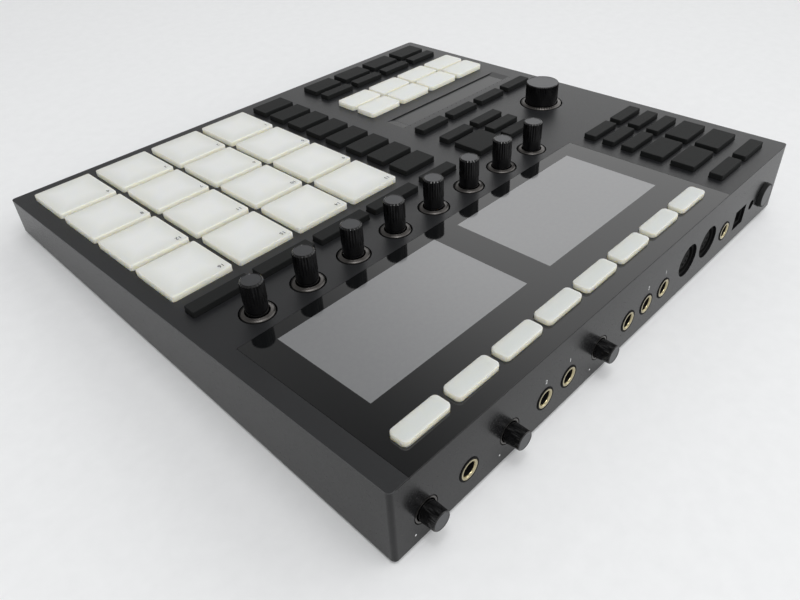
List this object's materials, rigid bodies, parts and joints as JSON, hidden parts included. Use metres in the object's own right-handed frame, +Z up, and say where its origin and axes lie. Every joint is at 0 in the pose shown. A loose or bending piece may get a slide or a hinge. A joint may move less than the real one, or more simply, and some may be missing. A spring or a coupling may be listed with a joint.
{
  "type": "pad controller",
  "caption": "Flat wedge-shaped pad controller with square drum pads, banks of keys, two displays under one glass, a row of knobs, a push dial and a rear wall of sockets.",
  "frame": {"origin": "on the table under the middle of the whole outline", "axes": "+X to the player's right, +Y to the rear where the sockets are, +Z up"},
  "size_m": [0.32, 0.301, 0.0508],
  "materials": {
    "case_plastic": "fine moulded texture",
    "panel_plastic": "fine matte",
    "cover_glass": "gloss tinted sheet",
    "screen": "display cell in a steel frame",
    "strip_plastic": "smooth satin",
    "key_rubber": "matte silicone",
    "pad_rubber": "translucent white silicone",
    "mat_rubber": "silicone sheet",
    "board": "glass fibre board",
    "knob_plastic": "ribbed satin black",
    "socket_plastic": "black moulded",
    "collar_metal": "anodised grey-brown",
    "ferrule_metal": "nickel-washed",
    "component_metal": "plated can",
    "screw_steel": "black zinc",
    "foot_rubber": "matte"
  },
  "bodies": {
    "case": {"bottom_case": "case_plastic", "top_panel": "panel_plastic", "display_glass": "cover_glass", "display_modules": "screen", "touch_strip": "strip_plastic", "feet": "foot_rubber", "main_board": "board", "io_board": "board", "key_mats": "mat_rubber", "pad_sensor": "mat_rubber", "case_screws": "screw_steel", "board_screws": "screw_steel", "encoder_bodies": "component_metal", "knob_collars": "collar_metal", "panel_standoffs": "component_metal", "jack_sockets": "socket_plastic", "jack_ferrules": "ferrule_metal", "midi_sockets": "socket_plastic", "usb_socket": "socket_plastic", "power_socket": "socket_plastic", "power_switch": "socket_plastic", "rear_pots": "component_metal"},
    "pad_01_body": {"pad_01": "pad_rubber"},
    "pad_02_body": {"pad_02": "pad_rubber"},
    "pad_03_body": {"pad_03": "pad_rubber"},
    "pad_04_body": {"pad_04": "pad_rubber"},
    "pad_05_body": {"pad_05": "pad_rubber"},
    "pad_06_body": {"pad_06": "pad_rubber"},
    "pad_07_body": {"pad_07": "pad_rubber"},
    "pad_08_body": {"pad_08": "pad_rubber"},
    "pad_09_body": {"pad_09": "pad_rubber"},
    "pad_10_body": {"pad_10": "pad_rubber"},
    "pad_11_body": {"pad_11": "pad_rubber"},
    "pad_12_body": {"pad_12": "pad_rubber"},
    "pad_13_body": {"pad_13": "pad_rubber"},
    "pad_14_body": {"pad_14": "pad_rubber"},
    "pad_15_body": {"pad_15": "pad_rubber"},
    "pad_16_body": {"pad_16": "pad_rubber"},
    "mode_buttons_body": {"mode_buttons": "key_rubber"},
    "master_buttons_body": {"master_buttons": "key_rubber"},
    "perform_buttons_body": {"perform_buttons": "key_rubber"},
    "group_buttons_body": {"group_buttons": "pad_rubber"},
    "transport_buttons_body": {"transport_buttons": "key_rubber"},
    "scene_buttons_body": {"scene_buttons": "key_rubber"},
    "pad_mode_buttons_body": {"pad_mode_buttons": "key_rubber"},
    "display_buttons_body": {"display_buttons": "pad_rubber"},
    "power_button_body": {"power_button": "knob_plastic"},
    "encoder_plunger_body": {"main_encoder_plunger": "component_metal"},
    "encoder_knob_body": {"main_encoder_knob": "knob_plastic"},
    "knob_1_body": {"knob_1": "knob_plastic"},
    "knob_2_body": {"knob_2": "knob_plastic"},
    "knob_3_body": {"knob_3": "knob_plastic"},
    "knob_4_body": {"knob_4": "knob_plastic"},
    "knob_5_body": {"knob_5": "knob_plastic"},
    "knob_6_body": {"knob_6": "knob_plastic"},
    "knob_7_body": {"knob_7": "knob_plastic"},
    "knob_8_body": {"knob_8": "knob_plastic"},
    "phones_knob_body": {"phones_knob": "knob_plastic"},
    "line_out_knob_body": {"line_out_knob": "knob_plastic"},
    "mic_gain_knob_body": {"mic_gain_knob": "knob_plastic"}
  },
  "joints": [
    {"name": "pad_01_press", "type": "slide", "parent": "case", "child": "pad_01_body", "axis": [0, 0.0676, -0.9977], "range_m": [0, 0.0008], "stiffness_N_per_m": 1500, "springref_m": -0.0005},
    {"name": "pad_02_press", "type": "slide", "parent": "case", "child": "pad_02_body", "axis": [0, 0.0676, -0.9977], "range_m": [0, 0.0008], "stiffness_N_per_m": 1500, "springref_m": -0.0005},
    {"name": "pad_03_press", "type": "slide", "parent": "case", "child": "pad_03_body", "axis": [0, 0.0676, -0.9977], "range_m": [0, 0.0008], "stiffness_N_per_m": 1500, "springref_m": -0.0005},
    {"name": "pad_04_press", "type": "slide", "parent": "case", "child": "pad_04_body", "axis": [0, 0.0676, -0.9977], "range_m": [0, 0.0008], "stiffness_N_per_m": 1500, "springref_m": -0.0005},
    {"name": "pad_05_press", "type": "slide", "parent": "case", "child": "pad_05_body", "axis": [0, 0.0676, -0.9977], "range_m": [0, 0.0008], "stiffness_N_per_m": 1500, "springref_m": -0.0005},
    {"name": "pad_06_press", "type": "slide", "parent": "case", "child": "pad_06_body", "axis": [0, 0.0676, -0.9977], "range_m": [0, 0.0008], "stiffness_N_per_m": 1500, "springref_m": -0.0005},
    {"name": "pad_07_press", "type": "slide", "parent": "case", "child": "pad_07_body", "axis": [0, 0.0676, -0.9977], "range_m": [0, 0.0008], "stiffness_N_per_m": 1500, "springref_m": -0.0005},
    {"name": "pad_08_press", "type": "slide", "parent": "case", "child": "pad_08_body", "axis": [0, 0.0676, -0.9977], "range_m": [0, 0.0008], "stiffness_N_per_m": 1500, "springref_m": -0.0005},
    {"name": "pad_09_press", "type": "slide", "parent": "case", "child": "pad_09_body", "axis": [0, 0.0676, -0.9977], "range_m": [0, 0.0008], "stiffness_N_per_m": 1500, "springref_m": -0.0005},
    {"name": "pad_10_press", "type": "slide", "parent": "case", "child": "pad_10_body", "axis": [0, 0.0676, -0.9977], "range_m": [0, 0.0008], "stiffness_N_per_m": 1500, "springref_m": -0.0005},
    {"name": "pad_11_press", "type": "slide", "parent": "case", "child": "pad_11_body", "axis": [0, 0.0676, -0.9977], "range_m": [0, 0.0008], "stiffness_N_per_m": 1500, "springref_m": -0.0005},
    {"name": "pad_12_press", "type": "slide", "parent": "case", "child": "pad_12_body", "axis": [0, 0.0676, -0.9977], "range_m": [0, 0.0008], "stiffness_N_per_m": 1500, "springref_m": -0.0005},
    {"name": "pad_13_press", "type": "slide", "parent": "case", "child": "pad_13_body", "axis": [0, 0.0676, -0.9977], "range_m": [0, 0.0008], "stiffness_N_per_m": 1500, "springref_m": -0.0005},
    {"name": "pad_14_press", "type": "slide", "parent": "case", "child": "pad_14_body", "axis": [0, 0.0676, -0.9977], "range_m": [0, 0.0008], "stiffness_N_per_m": 1500, "springref_m": -0.0005},
    {"name": "pad_15_press", "type": "slide", "parent": "case", "child": "pad_15_body", "axis": [0, 0.0676, -0.9977], "range_m": [0, 0.0008], "stiffness_N_per_m": 1500, "springref_m": -0.0005},
    {"name": "pad_16_press", "type": "slide", "parent": "case", "child": "pad_16_body", "axis": [0, 0.0676, -0.9977], "range_m": [0, 0.0008], "stiffness_N_per_m": 1500, "springref_m": -0.0005},
    {"name": "mode_buttons_press", "type": "slide", "parent": "case", "child": "mode_buttons_body", "axis": [0, 0.0676, -0.9977], "range_m": [0, 0.001], "stiffness_N_per_m": 3000, "springref_m": -0.0005},
    {"name": "master_buttons_press", "type": "slide", "parent": "case", "child": "master_buttons_body", "axis": [0, 0.0676, -0.9977], "range_m": [0, 0.001], "stiffness_N_per_m": 3000, "springref_m": -0.0005},
    {"name": "perform_buttons_press", "type": "slide", "parent": "case", "child": "perform_buttons_body", "axis": [0, 0.0676, -0.9977], "range_m": [0, 0.001], "stiffness_N_per_m": 3000, "springref_m": -0.0005},
    {"name": "group_buttons_press", "type": "slide", "parent": "case", "child": "group_buttons_body", "axis": [0, 0.0676, -0.9977], "range_m": [0, 0.001], "stiffness_N_per_m": 3000, "springref_m": -0.0005},
    {"name": "transport_buttons_press", "type": "slide", "parent": "case", "child": "transport_buttons_body", "axis": [0, 0.0676, -0.9977], "range_m": [0, 0.001], "stiffness_N_per_m": 3000, "springref_m": -0.0005},
    {"name": "scene_buttons_press", "type": "slide", "parent": "case", "child": "scene_buttons_body", "axis": [0, 0.0676, -0.9977], "range_m": [0, 0.001], "stiffness_N_per_m": 3000, "springref_m": -0.0005},
    {"name": "pad_mode_buttons_press", "type": "slide", "parent": "case", "child": "pad_mode_buttons_body", "axis": [0, 0.0676, -0.9977], "range_m": [0, 0.001], "stiffness_N_per_m": 3000, "springref_m": -0.0005},
    {"name": "display_buttons_press", "type": "slide", "parent": "case", "child": "display_buttons_body", "axis": [0, 0.0676, -0.9977], "range_m": [0, 0.001], "stiffness_N_per_m": 3000, "springref_m": -0.0005},
    {"name": "power_button_press", "type": "slide", "parent": "case", "child": "power_button_body", "axis": [0, -0.9977, -0.0676], "range_m": [0, 0.0015], "stiffness_N_per_m": 800, "springref_m": -0.0005},
    {"name": "main_encoder_press", "type": "slide", "parent": "case", "child": "encoder_plunger_body", "axis": [0, 0.0676, -0.9977], "range_m": [0, 0.0008], "stiffness_N_per_m": 2500, "springref_m": -0.0005},
    {"name": "main_encoder_turn", "type": "hinge", "parent": "encoder_plunger_body", "child": "encoder_knob_body", "pos_m": [-0.1245, -0.00054, 0.03122], "axis": [0, -0.0676, 0.9977], "continuous": true},
    {"name": "knob_1_turn", "type": "hinge", "parent": "case", "child": "knob_1_body", "pos_m": [-0.06625, 0.03359, 0.03353], "axis": [0, -0.0676, 0.9977], "continuous": true},
    {"name": "knob_2_turn", "type": "hinge", "parent": "case", "child": "knob_2_body", "pos_m": [-0.03815, 0.03359, 0.03353], "axis": [0, -0.0676, 0.9977], "continuous": true},
    {"name": "knob_3_turn", "type": "hinge", "parent": "case", "child": "knob_3_body", "pos_m": [-0.01005, 0.03359, 0.03353], "axis": [0, -0.0676, 0.9977], "continuous": true},
    {"name": "knob_4_turn", "type": "hinge", "parent": "case", "child": "knob_4_body", "pos_m": [0.01805, 0.03359, 0.03353], "axis": [0, -0.0676, 0.9977], "continuous": true},
    {"name": "knob_5_turn", "type": "hinge", "parent": "case", "child": "knob_5_body", "pos_m": [0.04615, 0.03359, 0.03353], "axis": [0, -0.0676, 0.9977], "continuous": true},
    {"name": "knob_6_turn", "type": "hinge", "parent": "case", "child": "knob_6_body", "pos_m": [0.07425, 0.03359, 0.03353], "axis": [0, -0.0676, 0.9977], "continuous": true},
    {"name": "knob_7_turn", "type": "hinge", "parent": "case", "child": "knob_7_body", "pos_m": [0.10235, 0.03359, 0.03353], "axis": [0, -0.0676, 0.9977], "continuous": true},
    {"name": "knob_8_turn", "type": "hinge", "parent": "case", "child": "knob_8_body", "pos_m": [0.13045, 0.03359, 0.03353], "axis": [0, -0.0676, 0.9977], "continuous": true},
    {"name": "phones_knob_turn", "type": "hinge", "parent": "case", "child": "phones_knob_body", "pos_m": [0.1432, 0.14277, 0.01607], "axis": [0, 0.9977, 0.0676], "range_deg": [-150, 150]},
    {"name": "line_out_knob_turn", "type": "hinge", "parent": "case", "child": "line_out_knob_body", "pos_m": [0.095, 0.14277, 0.01607], "axis": [0, 0.9977, 0.0676], "range_deg": [-150, 150]},
    {"name": "mic_gain_knob_turn", "type": "hinge", "parent": "case", "child": "mic_gain_knob_body", "pos_m": [0.0306, 0.14277, 0.01607], "axis": [0, 0.9977, 0.0676], "range_deg": [-150, 150]}
  ]
}
